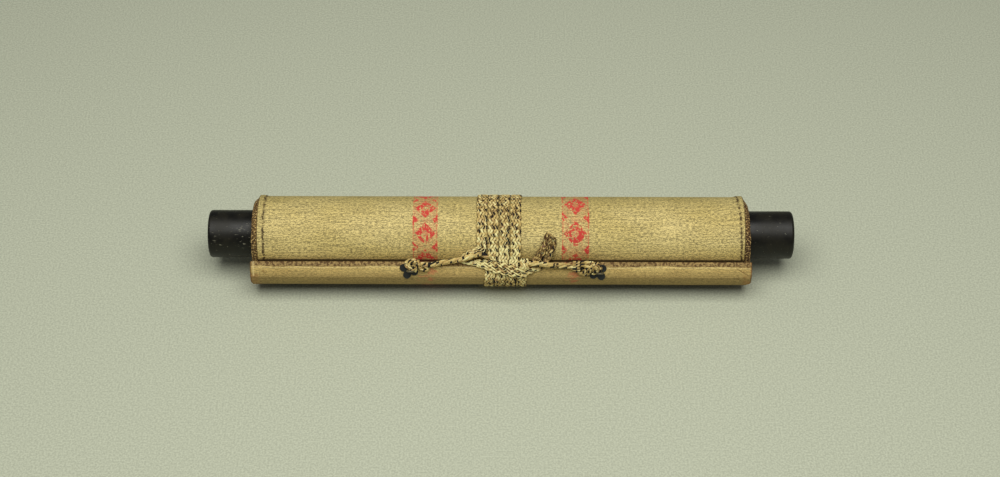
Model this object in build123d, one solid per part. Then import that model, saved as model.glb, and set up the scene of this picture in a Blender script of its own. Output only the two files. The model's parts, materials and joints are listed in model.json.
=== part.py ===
from build123d import *
import math
import os

# A hanging scroll, rolled up on its roller and tied with its own braided ribbon.
# Millimetres, +Z up. The roller lies along X, and the origin is on the table under
# the middle of its axis. The stave that heads the sheet lies on the -Y side.

# Rolled sheet
sheet_width = 336.0
sheet_thickness = 0.8
turn_pitch = 1.03  # from one turn to the next
turn_count = 17
turn_overhang = 4.0  # how far the inner turns stand out past the outermost one
flat_depth = 1.0  # how far the lowest turn is pressed flat
hem_width = 4.2
hem_crease_width = 0.7
hem_crease_depth = 0.3

# Roller and knobs
rod_radius = 8.6
tenon_radius = 6.0
tenon_length = 20.0
tenon_clearance = 0.1
knob_radius = 16.6
knob_length = 31.5
knob_rim_radius = 2.0
knob_dome = 0.8
knob_gap = 0.3  # between the edges of the turns and the knob

# Stave, a planed half-round rod with its flat side to the roll
stave_overhang = 0.1  # past the turns that stand out furthest
stave_width = 21.5
stave_thickness = 9.5
stave_ledge = 1.7  # height of the straight sides
stave_shoulder_rise = 8.3  # height of the soft corner between bevel and crown
stave_shoulder_width = 11.4  # from one soft corner to the other
stave_bevel_bulge = 0.5
stave_drop = 20.0  # degrees that the stave lies below the roller's axis

# Pocket of paper pasted round the stave
pocket_thickness = 0.7
pocket_clearance = 0.05
pocket_end_thickness = 0.75
lap_length = 7.5

# Eyelets and their flower-shaped washers
left_eyelet_place = (-63.3, 1.2)  # X, and how far up from the middle of the bevel
right_eyelet_place = (66.8, 0.0)
left_washer_turn = 70.0
right_washer_turn = 36.0
washer_lobes = 4
washer_lobe_radius = 2.7
washer_lobe_reach = 3.9  # from the washer's centre to a lobe's
washer_thickness = 0.8
washer_edge = 0.2
wire_radius = 0.6
ring_radius = 2.2
ring_sweep = 300.0  # degrees, so that the ring stays open beside the shank
ring_bend_radius = 1.2  # where the shank bends into the ring
shank_length = 5.2
shank_clearance = 0.1

# Ribbon
ribbon_width = 7.75
ribbon_thickness = 1.4
ribbon_turns = 4
ribbon_groove_width = 0.9  # between one turn and the next
ribbon_groove_depth = 0.6
ribbon_centre_x = 0.3
ribbon_gap = 0.2
last_pass_height = 4.0  # the ribbon's last pass and the cord that it covers
last_pass_points = [
    (-19.0, -8.0),
    (-7.2, -10.5),
    (6.5, -14.6),
    (14.5, -16.4),
    (21.0, -14.8),
    (27.0, -12.6),
]
last_pass_bend = 6.0
tail_height = 2.8  # two layers of ribbon
tail_corners = [(19.5, -7.6), (31.2, 11.6), (34.2, 11.2), (38.6, 5.6), (38.2, -7.6)]
tail_corner_radius = 0.8
crossing_rise = 23.0  # degrees above level that the crossing faces

# Hanging cord
cord_radius = 1.9
bend_share = 0.45
knot_gap = 0.1
left_knot_place = (3.0, 1.6)  # from the eyelet, along X and up the bevel
left_knot_size = (4.4, 3.4)  # half its length and half its thickness
right_knot_place = (-6.0, 0.5)
right_knot_size = (7.4, 3.7)
left_cord_points = [
    (-59.0, -33.6, 30.9),
    (-50.5, -31.5, 30.3),
    (-42.0, -30.5, 30.7),
    (-33.0, -29.7, 31.0),
    (-24.5, -28.3, 32.3),
    (-17.0, -29.6, 36.7),
    (-9.5, -30.5, 37.3),
    (-2.9, -32.0, 34.3),
]
right_cord_points = [
    (11.5, -35.5, 28.6),
    (18.0, -34.1, 30.5),
    (26.0, -32.3, 30.2),
    (35.5, -32.5, 29.8),
    (45.0, -33.1, 29.5),
    (54.1, -34.9, 28.5),
]

seat_gap = 0.1  # between pieces that are pasted or pressed together
same_point = 0.0001  # nearer than this, two ends meet
share_digits = 9  # to so many places, arcs that touch on the inside are tangent

# Places that follow from the sizes above
sheet_half = sheet_width / 2
inner_half = sheet_half + turn_overhang
knob_inner_x = inner_half + knob_gap
stave_half = inner_half + stave_overhang
half_step = turn_pitch / 2
centre_shift = turn_pitch / 4
first_radius = rod_radius + centre_shift + seat_gap + sheet_thickness
last_index = 2 * turn_count - 1
outer_radius = first_radius + last_index * half_step
axis_height = outer_radius - flat_depth + ribbon_gap + ribbon_thickness
seat_radius = (
    outer_radius - 2 * half_step + centre_shift * math.cos(math.radians(stave_drop)) + seat_gap
)
wood_seat = seat_radius + pocket_thickness + pocket_clearance
pocket_half = stave_half + pocket_clearance + pocket_end_thickness

roll_plane = Plane(origin=(0, 0, axis_height), x_dir=(0, 1, 0), z_dir=(1, 0, 0))
stave_angle = 180.0 + stave_drop
stave_plane = Plane(
    origin=(0, 0, axis_height),
    x_dir=(0, math.cos(math.radians(stave_angle)), math.sin(math.radians(stave_angle))),
    z_dir=(1, 0, 0),
)


def polar(radius, angle):
    """A point that far from the origin, at that angle in degrees."""
    return Vector(
        radius * math.cos(math.radians(angle)),
        radius * math.sin(math.radians(angle)),
    )


def slab(plane, face, half):
    """The face, drawn on that plane, drawn out that far to both sides."""
    return extrude(plane * face, half, both=True)


def half_turn(index, inset=0.0, end_angle=180.0):
    """The edges of one half turn of the sheet, counted from the roller outwards.

    Even ones pass over the roll and odd ones pass under it, where they are pressed flat.
    """
    radius = first_radius + index * half_step - inset
    if index % 2 == 0:
        return [CenterArc((centre_shift, 0), radius, 0, 180)]
    centre = Vector(-centre_shift, 0)
    sag = flat_depth * index / last_index
    spread = math.degrees(math.acos(1 - sag / radius))
    near = centre + polar(radius, 270 - spread)
    far = centre + polar(radius, 270 + spread)
    return [
        CenterArc(centre, radius, end_angle, 270 - spread - end_angle),
        Line(near, far),
        CenterArc(centre, radius, 270 + spread, 90 - spread),
    ]


def closing(index, angle):
    """The short edge across the sheet's thickness at an end of a half turn."""
    radius = first_radius + index * half_step
    side = centre_shift if index % 2 == 0 else -centre_shift
    centre = Vector(side, 0)
    return Line(centre + polar(radius, angle), centre + polar(radius - sheet_thickness, angle))


def lead():
    """Where the sheet leaves the roll for the stave: start angle, start, direction, length."""
    corner = Rot(0, 0, stave_angle) * Pos(seat_radius, stave_width / 2 + pocket_thickness)
    centre = Vector(-centre_shift, 0)
    reach = corner.position - centre
    angle = math.degrees(math.atan2(reach.Y, reach.X)) % 360
    angle += math.degrees(math.acos(outer_radius / reach.length))
    start = centre + polar(outer_radius, angle)
    run = corner.position - start
    return angle, start, run.normalized(), run.length


def rolled_sheet():
    """The sheet's true spiral section, its inner turns standing out at both ends."""
    inner_edges = [closing(0, 180), closing(last_index - 2, 180)]
    for index in range(last_index - 1):
        inner_edges += half_turn(index)
        inner_edges += half_turn(index, sheet_thickness)
    inner = slab(roll_plane, make_face(inner_edges), inner_half)

    angle, start, along, length = lead()
    inward = (Vector(-centre_shift, 0) - start).normalized() * sheet_thickness
    tip = start + along * (length - seat_gap)
    outer_edges = [closing(last_index - 1, 180)]
    outer_edges += half_turn(last_index - 1) + half_turn(last_index - 1, sheet_thickness)
    outer_edges += half_turn(last_index, 0, angle) + half_turn(last_index, sheet_thickness, angle)
    outer_edges += [Line(start, tip), Line(tip, tip + inward), Line(tip + inward, start + inward)]
    outer = slab(roll_plane, make_face(outer_edges), sheet_half)

    sheet = inner + outer
    for x in (hem_width - sheet_half, sheet_half - hem_width):
        sheet -= Pos(x, 0, 0) * hem_crease()
    return sheet


def roll_outline(inset):
    """The outline of the outermost turn, closed by a step where the sheet leaves it."""
    radius = outer_radius - half_step - inset
    step = Line((centre_shift - radius, 0), (-centre_shift - outer_radius + inset, 0))
    over = half_turn(last_index - 1, inset)
    return make_face(over + half_turn(last_index, inset) + [step])


def hem_crease():
    """The groove that the hem's fold leaves round the outermost turn."""
    ring = roll_outline(-hem_crease_depth) - roll_outline(hem_crease_depth)
    return slab(roll_plane, ring, hem_crease_width / 2)


def roller_rod():
    """The turned rod that the sheet is wound on, with a tenon for each knob."""
    rod = Cylinder(rod_radius, 2 * knob_inner_x, rotation=(0, 90, 0))
    tenons = Cylinder(tenon_radius, 2 * (knob_inner_x + tenon_length), rotation=(0, 90, 0))
    return Pos(0, 0, axis_height) * (rod + tenons)


def knob(side):
    """A turned knob with a rounded rim, a slightly domed end and a socket for the tenon."""
    inner, outer = knob_inner_x, knob_inner_x + knob_length
    bore = tenon_radius + tenon_clearance
    depth = tenon_length + tenon_clearance
    body = Cylinder(knob_radius, knob_length, rotation=(0, 90, 0))
    body = Pos((inner + outer) / 2, 0, 0) * body
    dome_radius = (knob_radius**2 + knob_dome**2) / (2 * knob_dome)
    body &= Pos(outer - dome_radius, 0, 0) * Sphere(dome_radius)
    rim = body.edges().filter_by(lambda edge: edge.is_closed).sort_by(Axis.X)[-1]
    body = fillet(rim, knob_rim_radius)
    body -= Pos(inner, 0, 0) * Cylinder(bore, 2 * depth, rotation=(0, 90, 0))
    if side < 0:
        body = mirror(body, Plane.YZ)
    return Pos(0, 0, axis_height) * body


def stave_section():
    """The stave's planed half-round section, its flat side at the inner end of local X."""
    half = stave_width / 2
    ledge = wood_seat + stave_ledge
    shoulder = wood_seat + stave_shoulder_rise
    shoulder_half = stave_shoulder_width / 2
    base = Polyline((ledge, half), (wood_seat, half), (wood_seat, -half), (ledge, -half))
    low = SagittaArc((ledge, -half), (shoulder, -shoulder_half), -stave_bevel_bulge)
    crown = ThreePointArc(
        (shoulder, -shoulder_half),
        (wood_seat + stave_thickness, 0),
        (shoulder, shoulder_half),
    )
    high = SagittaArc((shoulder, shoulder_half), (ledge, half), -stave_bevel_bulge)
    return make_face(base.edges() + [low, crown, high])


def eyelet_plane(place):
    """At that place on the stave's upper bevel, its normal pointing away from the stave."""
    x, up = place
    half, shoulder_half = stave_width / 2, stave_shoulder_width / 2
    run = Vector(stave_shoulder_rise - stave_ledge, half - shoulder_half).normalized()
    normal = Vector(run.Y, -run.X)
    middle = Vector(
        wood_seat + (stave_ledge + stave_shoulder_rise) / 2,
        -(half + shoulder_half) / 2,
    )
    skin = stave_bevel_bulge + pocket_clearance + pocket_thickness
    surface = middle + normal * skin - run * up
    origin = stave_plane.from_local_coords(surface)
    outward = stave_plane.from_local_coords(surface + normal) - origin
    return Plane(origin=origin + Vector(x, 0, 0), x_dir=(1, 0, 0), z_dir=outward)


def shank_hole(place):
    """The hole that an eyelet's shank is driven into."""
    depth = shank_length + shank_clearance
    hole = Cylinder(wire_radius + shank_clearance, 2 * depth)
    return eyelet_plane(place) * hole


def stave():
    rod = slab(stave_plane, stave_section(), stave_half)
    return rod - shank_hole(left_eyelet_place) - shank_hole(right_eyelet_place)


def pocket_outline():
    return offset(stave_section(), pocket_clearance + pocket_thickness, kind=Kind.ARC)


def stave_pocket():
    """The paper round the stave, folded in at the ends, with the lap pasted to the sheet."""
    body = slab(stave_plane, pocket_outline(), pocket_half)
    angle, start, along, length = lead()
    outward = (start - Vector(-centre_shift, 0)).normalized()
    foot = start + along * (length - lap_length) + outward * pocket_clearance
    head = start + along * (length + pocket_thickness) + outward * pocket_clearance
    lap = Polyline(
        foot,
        head,
        head + outward * pocket_thickness,
        foot + outward * pocket_thickness,
        close=True,
    )
    body += slab(roll_plane, make_face(lap.edges()), sheet_half)
    room = offset(stave_section(), pocket_clearance, kind=Kind.ARC)
    body -= slab(stave_plane, room, stave_half + pocket_clearance)
    return body - shank_hole(left_eyelet_place) - shank_hole(right_eyelet_place)


def washer(eyelet_place, turn):
    """A thin plate of round lobes with a hole for the shank."""
    plate = Circle(washer_lobe_reach)
    for lobe in range(washer_lobes):
        place = polar(washer_lobe_reach, turn + 360 / washer_lobes * lobe)
        plate += Pos(place) * Circle(washer_lobe_radius)
    plate = extrude(plate, washer_thickness)
    plate = chamfer(plate.faces().sort_by(Axis.Z)[-1].edges(), washer_edge)
    plate -= Cylinder(wire_radius + shank_clearance, 4 * washer_thickness)
    return eyelet_plane(eyelet_place) * plate


def bent_wire(radius):
    """A wire of that radius, bent from the shank into the ring, with the washer's foot at z 0."""
    ring_height = washer_thickness + ring_bend_radius + ring_radius
    shank = Line((0, -shank_length), (0, washer_thickness))
    bend = CenterArc((ring_bend_radius, washer_thickness), ring_bend_radius, 180, -90)
    ring = CenterArc((ring_bend_radius, ring_height), ring_radius, 270, ring_sweep)
    path = Wire([Plane.XZ * edge for edge in (shank, bend, ring)])
    return sweep(Pos(0, 0, -shank_length) * Circle(radius), path)


def eyelet(place):
    """An eyelet of one bent wire, standing on the washer with its shank in the stave."""
    return eyelet_plane(place) * bent_wire(wire_radius)


def bow(start, end, bulge):
    """The centre and radius of the arc that bulges that far to the right of start to end."""
    chord = end - start
    radius = chord.length**2 / (8 * bulge) + bulge / 2
    outward = Vector(chord.Y, -chord.X).normalized()
    return (start + end) / 2 - outward * (radius - bulge), radius


def tied_rounds():
    """The round stretches that the ribbon can lie on, counterclockwise, as centre and radius."""
    skin = pocket_clearance + pocket_thickness
    heights = (stave_ledge, stave_shoulder_rise, stave_shoulder_rise, stave_ledge)
    widths = (-stave_width, -stave_shoulder_width, stave_shoulder_width, stave_width)
    turn = Rot(0, 0, stave_angle)
    corners = [
        (turn * Pos(wood_seat + height, width / 2)).position
        for height, width in zip(heights, widths)
    ]
    bulges = (stave_bevel_bulge, stave_thickness - stave_shoulder_rise, stave_bevel_bulge)
    rounds = [(Vector(centre_shift, 0), outer_radius - half_step)]
    for corner, start, end, bulge in zip(corners, corners, corners[1:], bulges):
        centre, radius = bow(start, end, bulge)
        rounds += [(corner, skin), (centre, radius + skin)]
    return rounds + [(corners[-1], skin), (Vector(-centre_shift, 0), outer_radius)]


def tied_outline(out):
    """The taut loop round the roll and the stave, that far outside them."""
    rounds = [(centre, radius + out) for centre, radius in tied_rounds()]
    slack = True
    while slack:
        turns = []
        for (here, radius), (there, other) in zip(rounds, rounds[1:] + rounds[:1]):
            reach = there - here
            share = round((radius - other) / reach.length, share_digits)
            share = max(-1.0, min(1.0, share))
            turns.append(math.degrees(math.atan2(reach.Y, reach.X) - math.acos(share)))
        sweeps = [(end - start) % 360 for start, end in zip(turns[-1:] + turns, turns)]
        slack = [index for index, swept in enumerate(sweeps) if swept > 180]
        if slack:
            rounds.pop(slack[0])
    edges = []
    for index, (centre, radius) in enumerate(rounds):
        edges.append(CenterArc(centre, radius, turns[index - 1], sweeps[index]))
        after, other = rounds[(index + 1) % len(rounds)]
        leave = centre + polar(radius, turns[index])
        meet = after + polar(other, turns[index])
        if (meet - leave).length > same_point:
            edges.append(Line(leave, meet))
    floor = outer_radius - flat_depth + out
    size = 4 * outer_radius
    return make_face(edges) & Pos(0, size / 2 - floor) * Rectangle(size, size)


def ribbon_wrap():
    """The ribbon's four turns side by side, as one band with a groove between turns."""
    surface = ribbon_gap + ribbon_thickness
    outer = tied_outline(surface)
    ring = outer - tied_outline(ribbon_gap)
    groove_ring = outer - tied_outline(surface - ribbon_groove_depth)
    band = slab(roll_plane, ring, ribbon_turns * ribbon_width / 2)
    groove = slab(roll_plane, groove_ring, ribbon_groove_width / 2)
    for number in range(1, ribbon_turns):
        band -= Pos((number - ribbon_turns / 2) * ribbon_width, 0, 0) * groove
    return Pos(ribbon_centre_x, 0, 0) * band


def crossing_slab(face):
    """A face drawn on the plane that faces the crossing, drawn out across the scroll."""
    rise = math.radians(crossing_rise)
    plane = Plane(
        origin=(0, 0, axis_height),
        x_dir=(1, 0, 0),
        z_dir=(0, -math.cos(rise), math.sin(rise)),
    )
    return extrude(plane * face, 2 * outer_radius)


def ribbon_last_pass():
    """The ribbon's last pass, slanting over the four turns with the cord under it."""
    inner = 2 * ribbon_gap + ribbon_thickness
    ring = tied_outline(inner + last_pass_height) - tied_outline(inner)
    shell = slab(roll_plane, ring, sheet_half)
    path = FilletPolyline(*last_pass_points, radius=last_pass_bend)
    return shell & crossing_slab(trace(path, ribbon_width))


def ribbon_tail():
    """The folded tail of the ribbon, lying up the roll from under the cord."""
    outline = make_face(Polyline(*tail_corners, close=True).edges())
    outline = fillet(outline.vertices(), tail_corner_radius)
    ring = roll_outline(-seat_gap - tail_height) - roll_outline(-seat_gap)
    return slab(roll_plane, ring, sheet_half) & crossing_slab(outline)


def cord_knot(eyelet_place, place, size):
    """The outer shape of a knot tied through an eyelet's ring, with room for the wire."""
    half_length, half_thickness = size
    upper = Pos(0, half_thickness / 2) * Rectangle(2 * half_length, half_thickness)
    lump = revolve(Ellipse(half_length, half_thickness) & upper, Axis.X)
    height = washer_thickness + knot_gap + half_thickness
    lump = Pos(place[0], place[1], height) * lump
    return eyelet_plane(eyelet_place) * (lump - bent_wire(wire_radius + knot_gap))


def cord_tube(points, name):
    """A tube along straight runs joined by arcs as large as the runs allow."""
    route = [Vector(point) for point in points]
    radii = []
    for before, corner, after in zip(route, route[1:], route[2:]):
        turn = (corner - before).get_angle(after - corner)
        shorter = min((corner - before).length, (after - corner).length)
        radii.append(bend_share * shorter / math.tan(math.radians(turn / 2)))
    path = FilletPolyline(*route, radius=radii)
    tube = sweep(Plane(origin=path @ 0, z_dir=path % 0) * Circle(cord_radius), path)
    expected = math.pi * cord_radius**2 * path.length
    print(name, "length", round(path.length, 1), "radii", [round(radius, 1) for radius in radii])
    print(name, "volume", round(tube.volume, 1), "section times length", round(expected, 1))
    return tube


os.makedirs("parts", exist_ok=True)
last_pass = ribbon_last_pass()
left_knot = cord_knot(left_eyelet_place, left_knot_place, left_knot_size)
right_knot = cord_knot(right_eyelet_place, right_knot_place, right_knot_size)
left_cord = cord_tube(left_cord_points, "hanging_cord_left") - left_knot - last_pass
right_cord = cord_tube(right_cord_points, "hanging_cord_right") - right_knot - last_pass
nodes = {
    "rolled_sheet": rolled_sheet(),
    "roller_rod": roller_rod(),
    "left_knob": knob(-1),
    "right_knob": knob(1),
    "stave": stave(),
    "stave_pocket": stave_pocket(),
    "left_washer": washer(left_eyelet_place, left_washer_turn),
    "right_washer": washer(right_eyelet_place, right_washer_turn),
    "left_eyelet": eyelet(left_eyelet_place),
    "right_eyelet": eyelet(right_eyelet_place),
    "hanging_cord_left": left_cord,
    "hanging_cord_right": right_cord,
    "left_cord_knot": left_knot,
    "right_cord_knot": right_knot,
    "ribbon_wrap": ribbon_wrap(),
    "ribbon_last_pass": last_pass,
    "ribbon_tail": ribbon_tail(),
}
for name, shape in nodes.items():
    export_step(shape, f"parts/{name}.step")
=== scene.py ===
import json
import random
from math import acos, asin, atan2, copysign, cos, degrees, exp, pi, radians, sin, sqrt

import bpy
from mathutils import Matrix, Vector, noise

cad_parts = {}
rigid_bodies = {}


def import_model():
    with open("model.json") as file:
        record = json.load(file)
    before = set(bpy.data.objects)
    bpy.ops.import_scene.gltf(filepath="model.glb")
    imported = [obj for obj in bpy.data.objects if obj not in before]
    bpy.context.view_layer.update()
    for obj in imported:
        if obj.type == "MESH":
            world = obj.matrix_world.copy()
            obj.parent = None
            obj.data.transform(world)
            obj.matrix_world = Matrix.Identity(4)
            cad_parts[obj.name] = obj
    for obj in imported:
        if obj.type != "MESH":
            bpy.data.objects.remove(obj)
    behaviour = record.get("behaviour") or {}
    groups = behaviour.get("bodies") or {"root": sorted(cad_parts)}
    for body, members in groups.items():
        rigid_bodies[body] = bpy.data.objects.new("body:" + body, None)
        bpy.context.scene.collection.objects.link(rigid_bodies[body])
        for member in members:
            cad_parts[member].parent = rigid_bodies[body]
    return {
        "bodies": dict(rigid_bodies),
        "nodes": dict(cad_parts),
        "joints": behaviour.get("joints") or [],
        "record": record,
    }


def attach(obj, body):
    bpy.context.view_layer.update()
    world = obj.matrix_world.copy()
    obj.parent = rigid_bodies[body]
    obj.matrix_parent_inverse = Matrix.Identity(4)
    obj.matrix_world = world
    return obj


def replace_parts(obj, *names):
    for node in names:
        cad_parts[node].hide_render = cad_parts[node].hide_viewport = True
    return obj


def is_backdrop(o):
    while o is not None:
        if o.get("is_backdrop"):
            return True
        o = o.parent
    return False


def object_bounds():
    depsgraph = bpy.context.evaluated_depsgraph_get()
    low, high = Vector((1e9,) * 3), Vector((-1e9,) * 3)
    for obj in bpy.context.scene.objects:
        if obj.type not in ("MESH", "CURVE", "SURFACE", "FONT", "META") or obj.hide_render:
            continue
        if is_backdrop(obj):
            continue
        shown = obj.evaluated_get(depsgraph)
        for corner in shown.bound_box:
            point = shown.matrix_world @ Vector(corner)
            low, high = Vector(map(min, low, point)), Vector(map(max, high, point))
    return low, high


# A hanging scroll, rolled up on its roller and tied with its own braided ribbon.
# Lengths are in millimetres here, and become metres where a mesh, lamp or camera is made.
# X runs along the roller. A section is given as Y and Z from the roller's axis.
MM = 0.001

# Sizes of the scroll
SHEET_HALF = 168.0  # half the width of the outermost turn
INNER_HALF = 172.0  # half the width of the turns inside it
SHEET_THICKNESS = 0.8
TURN_PITCH = 1.03
TURN_COUNT = 17
FLAT_DEPTH = 1.0  # how far the underside is pressed flat
ROD_RADIUS = 8.6
SEAT_GAP = 0.1
RIBBON_GAP = 0.2
RIBBON_WIDTH = 7.75
RIBBON_THICKNESS = 1.4
STAVE_WIDTH = 21.5
STAVE_THICKNESS = 9.5
STAVE_LEDGE = 1.7
SHOULDER_RISE = 8.3
SHOULDER_WIDTH = 11.4
BEVEL_BULGE = 0.5
STAVE_ANGLE = 200.0  # where the stave lies round the roll, in degrees
POCKET_SKIN = 0.75
POCKET_HALF = 172.9
LAP_LENGTH = 7.5
CORD_RADIUS = 1.9

HALF_STEP = TURN_PITCH / 2
SHIFT = TURN_PITCH / 4  # from the axis to the centres of the half turns
FIRST = ROD_RADIUS + SHIFT + SEAT_GAP + SHEET_THICKNESS  # radius of the first half turn
LAST_INDEX = 2 * TURN_COUNT - 1
OUTER = FIRST + LAST_INDEX * HALF_STEP  # and of the last one
AXIS_HEIGHT = OUTER - FLAT_DEPTH + RIBBON_GAP + RIBBON_THICKNESS
WOOD_SEAT = (
    OUTER - 2 * HALF_STEP + SHIFT * cos(radians(STAVE_ANGLE - 180))
    + SEAT_GAP + POCKET_SKIN
)

# How finely the outlines are drawn
BEVEL_POINTS = 9
CROWN_POINTS = 13
CORNER_STEP = 10.0  # degrees, round the stave
ROUND_STEP = 3.0  # degrees, round the roll
ARC_STEP = 2.0  # degrees, along the turns

# The plane that faces the crossing of the ribbon and the cord
FACING_RISE = radians(23.0)
FACING_OUT = Vector((0, -cos(FACING_RISE), sin(FACING_RISE)))
FACING_UP = Vector((0, sin(FACING_RISE), cos(FACING_RISE)))

# Camera
VIEW_TILT = radians(45.0)
VIEW_DISTANCE = 1330.0
VIEW_SHIFT = (-0.7, -2.95)
VIEW_ROLL = radians(0.15)
LENS = 68.4


def polar(radius, turn):
    """A point of a section at that distance and angle."""
    return Vector((radius * cos(radians(turn)), radius * sin(radians(turn))))


def wave(x, y, z):
    """A smooth random value from about -1 to 1."""
    return noise.noise(Vector((x, y, z)))


def hull(points):
    """The convex outline of those points, counterclockwise."""
    points = sorted({(round(p[0], 5), round(p[1], 5)) for p in points})

    def half(chain):
        kept = []
        for point in chain:
            while len(kept) > 1:
                (ax, ay), (bx, by) = kept[-2], kept[-1]
                if (bx - ax) * (point[1] - ay) - (by - ay) * (point[0] - ax) > 0:
                    break
                kept.pop()
            kept.append(point)
        return kept[:-1]

    return [Vector(point) for point in half(points) + half(points[::-1])]


def distances(line):
    """How far along a line each of its points lies."""
    marks = [0.0]
    for start, end in zip(line, line[1:]):
        marks.append(marks[-1] + (end - start).length)
    return marks


def located(marks, targets):
    """For each distance: the point before it, and the share of the way to the next."""
    index = 0
    for mark in targets:
        while index < len(marks) - 2 and marks[index + 1] < mark:
            index += 1
        span = marks[index + 1] - marks[index]
        yield index, min(1.0, (mark - marks[index]) / span) if span else 0.0


def resample(points, count, closed=False):
    """That many points, evenly spaced along a line."""
    line = list(points) + ([points[0]] if closed else [])
    marks = distances(line)
    steps = count if closed else count - 1
    targets = [marks[-1] * step / steps for step in range(count)]
    return [line[index].lerp(line[index + 1], share) for index, share in located(marks, targets)]


def heading_at(line, index):
    """From the point before to the point after that one."""
    return line[min(index + 1, len(line) - 1)] - line[max(index - 1, 0)]


def round_points(centre, radius, step=ROUND_STEP):
    """Points all round a circle."""
    return [centre + polar(radius, step * number) for number in range(int(360 / step))]


def arc_points(centre, radius, start, end, step=ARC_STEP):
    """Points along part of a circle, with both ends."""
    count = max(2, int(abs(end - start) / step) + 1)
    turns = [start + (end - start) * number / (count - 1) for number in range(count)]
    return [centre + polar(radius, turn) for turn in turns]


def bow_points(start, end, bulge, count):
    """Points along an arc that bulges to the right of start to end."""
    chord = end - start
    radius = chord.length**2 / (8 * bulge) + bulge / 2
    outward = Vector((chord.y, -chord.x)).normalized()
    centre = (start + end) / 2 - outward * (radius - bulge)
    spread = asin(chord.length / 2 / radius)
    middle = atan2(outward.y, outward.x)
    arc = []
    for number in range(count):
        turn = middle + spread * (2 * number / (count - 1) - 1)
        arc.append(centre + radius * Vector((cos(turn), sin(turn))))
    return arc


def stave_point(rise, across):
    """A point of the stave's section, by its height and across the stave."""
    return polar(WOOD_SEAT + rise, STAVE_ANGLE) + polar(across, STAVE_ANGLE + 90)


def stave_outline(skin):
    """The outline of the stave with that much paper round it."""
    half, shoulder_half = STAVE_WIDTH / 2, SHOULDER_WIDTH / 2
    foot = [stave_point(0, half), stave_point(0, -half)]
    top = [
        stave_point(STAVE_LEDGE, -half),
        stave_point(SHOULDER_RISE, -shoulder_half),
        stave_point(SHOULDER_RISE, shoulder_half),
        stave_point(STAVE_LEDGE, half),
    ]
    bevel = (BEVEL_BULGE, BEVEL_POINTS)
    bows = (bevel, (STAVE_THICKNESS - SHOULDER_RISE, CROWN_POINTS), bevel)
    around = []
    for start, end, bow in zip(top, top[1:], bows):
        foot += bow_points(start, end, *bow)
    for point in foot:
        around += round_points(point, skin, CORNER_STEP)
    return hull(around)


def tied_outline(out):
    """The taut loop round the roll and the stave, that far outside them."""
    around = stave_outline(POCKET_SKIN + out)
    over = round_points(Vector((SHIFT, 0)), OUTER - HALF_STEP + out)
    under = round_points(Vector((-SHIFT, 0)), OUTER + out)
    floor = FLAT_DEPTH - OUTER - out
    around += [point for point in over if point.y >= 0]
    around += [point for point in under if floor < point.y < 0]
    flat = sqrt((OUTER + out) ** 2 - floor**2)
    return hull(around + [Vector((side * flat - SHIFT, floor)) for side in (-1, 1)])


def at(x, section):
    """A point of a section, placed at that X."""
    return Vector((x, section[0], section[1] + AXIS_HEIGHT))


def toward(point, direction):
    """How far a point of a section lies in that direction."""
    return point.x * direction.y + point.y * direction.z


def level(outline, up):
    """How far out an outline reaches at that height on the facing plane."""
    best = 0.0
    for start, end in zip(outline, outline[1:] + outline[:1]):
        ups = [toward(point, FACING_UP) for point in (start, end)]
        outs = [toward(point, FACING_OUT) for point in (start, end)]
        if min(ups) <= up <= max(ups) and ups[0] != ups[1]:
            share = (up - ups[0]) / (ups[1] - ups[0])
            best = max(best, outs[0] + share * (outs[1] - outs[0]))
    return best


def above_loop(loop, x, up, lift):
    """A point by its X, its height on the facing plane and how far above the loop."""
    return Vector((x, 0, AXIS_HEIGHT)) + FACING_UP * up + FACING_OUT * (level(loop, up) + lift)


def smooth_line(points, resolution):
    """Points along the smooth line that has those control points."""
    curve = bpy.data.curves.new("line", "CURVE")
    curve.dimensions = "3D"
    spline = curve.splines.new("NURBS")
    spline.points.add(len(points) - 1)
    for control, point in zip(spline.points, points):
        control.co = (*point, 1.0)
    spline.order_u = 3
    spline.use_endpoint_u = True
    spline.resolution_u = resolution
    holder = bpy.data.objects.new("line", curve)
    mesh = bpy.data.meshes.new_from_object(holder)
    line = [vertex.co.copy() for vertex in mesh.vertices]
    bpy.data.batch_remove((holder, curve, mesh))
    return line


def add_object(name, data):
    """A new object in the scene."""
    added = bpy.data.objects.new(name, data)
    bpy.context.scene.collection.objects.link(added)
    return added


def make_piece(name, points, faces, material, uvs=None, marks=None):
    """A mesh object from points in millimetres, riding on the scroll."""
    mesh = bpy.data.meshes.new(name)
    mesh.from_pydata([tuple(point * MM) for point in points], [], faces)
    for layer_name, values in (("map", uvs), ("marks", marks)):
        if values:
            layer = mesh.uv_layers.new(name=layer_name)
            for loop in mesh.loops:
                layer.data[loop.index].uv = values[loop.vertex_index]
    mesh.materials.append(material)
    mesh.shade_smooth()
    piece = add_object(name, mesh)
    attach(piece, "root")
    return piece


def ring_faces(rings, ring, first=0, flip=False):
    """Faces of a tube of rings of points, closed at both ends."""
    faces = []
    for index in range(rings - 1):
        for number in range(ring):
            a = first + index * ring + number
            b = first + index * ring + (number + 1) % ring
            faces.append((a, a + ring, b + ring, b) if flip else (a, b, b + ring, a + ring))
    last = first + (rings - 1) * ring
    start, end = tuple(range(first, first + ring)), tuple(range(last, last + ring))
    faces.append(start if flip else start[::-1])
    faces.append(end[::-1] if flip else end)
    return faces


def tone(red, green, blue):
    """A display colour, from 0 to 255, as a linear one."""
    return tuple((value / 255) ** 2.2 for value in (red, green, blue)) + (1.0,)


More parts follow.
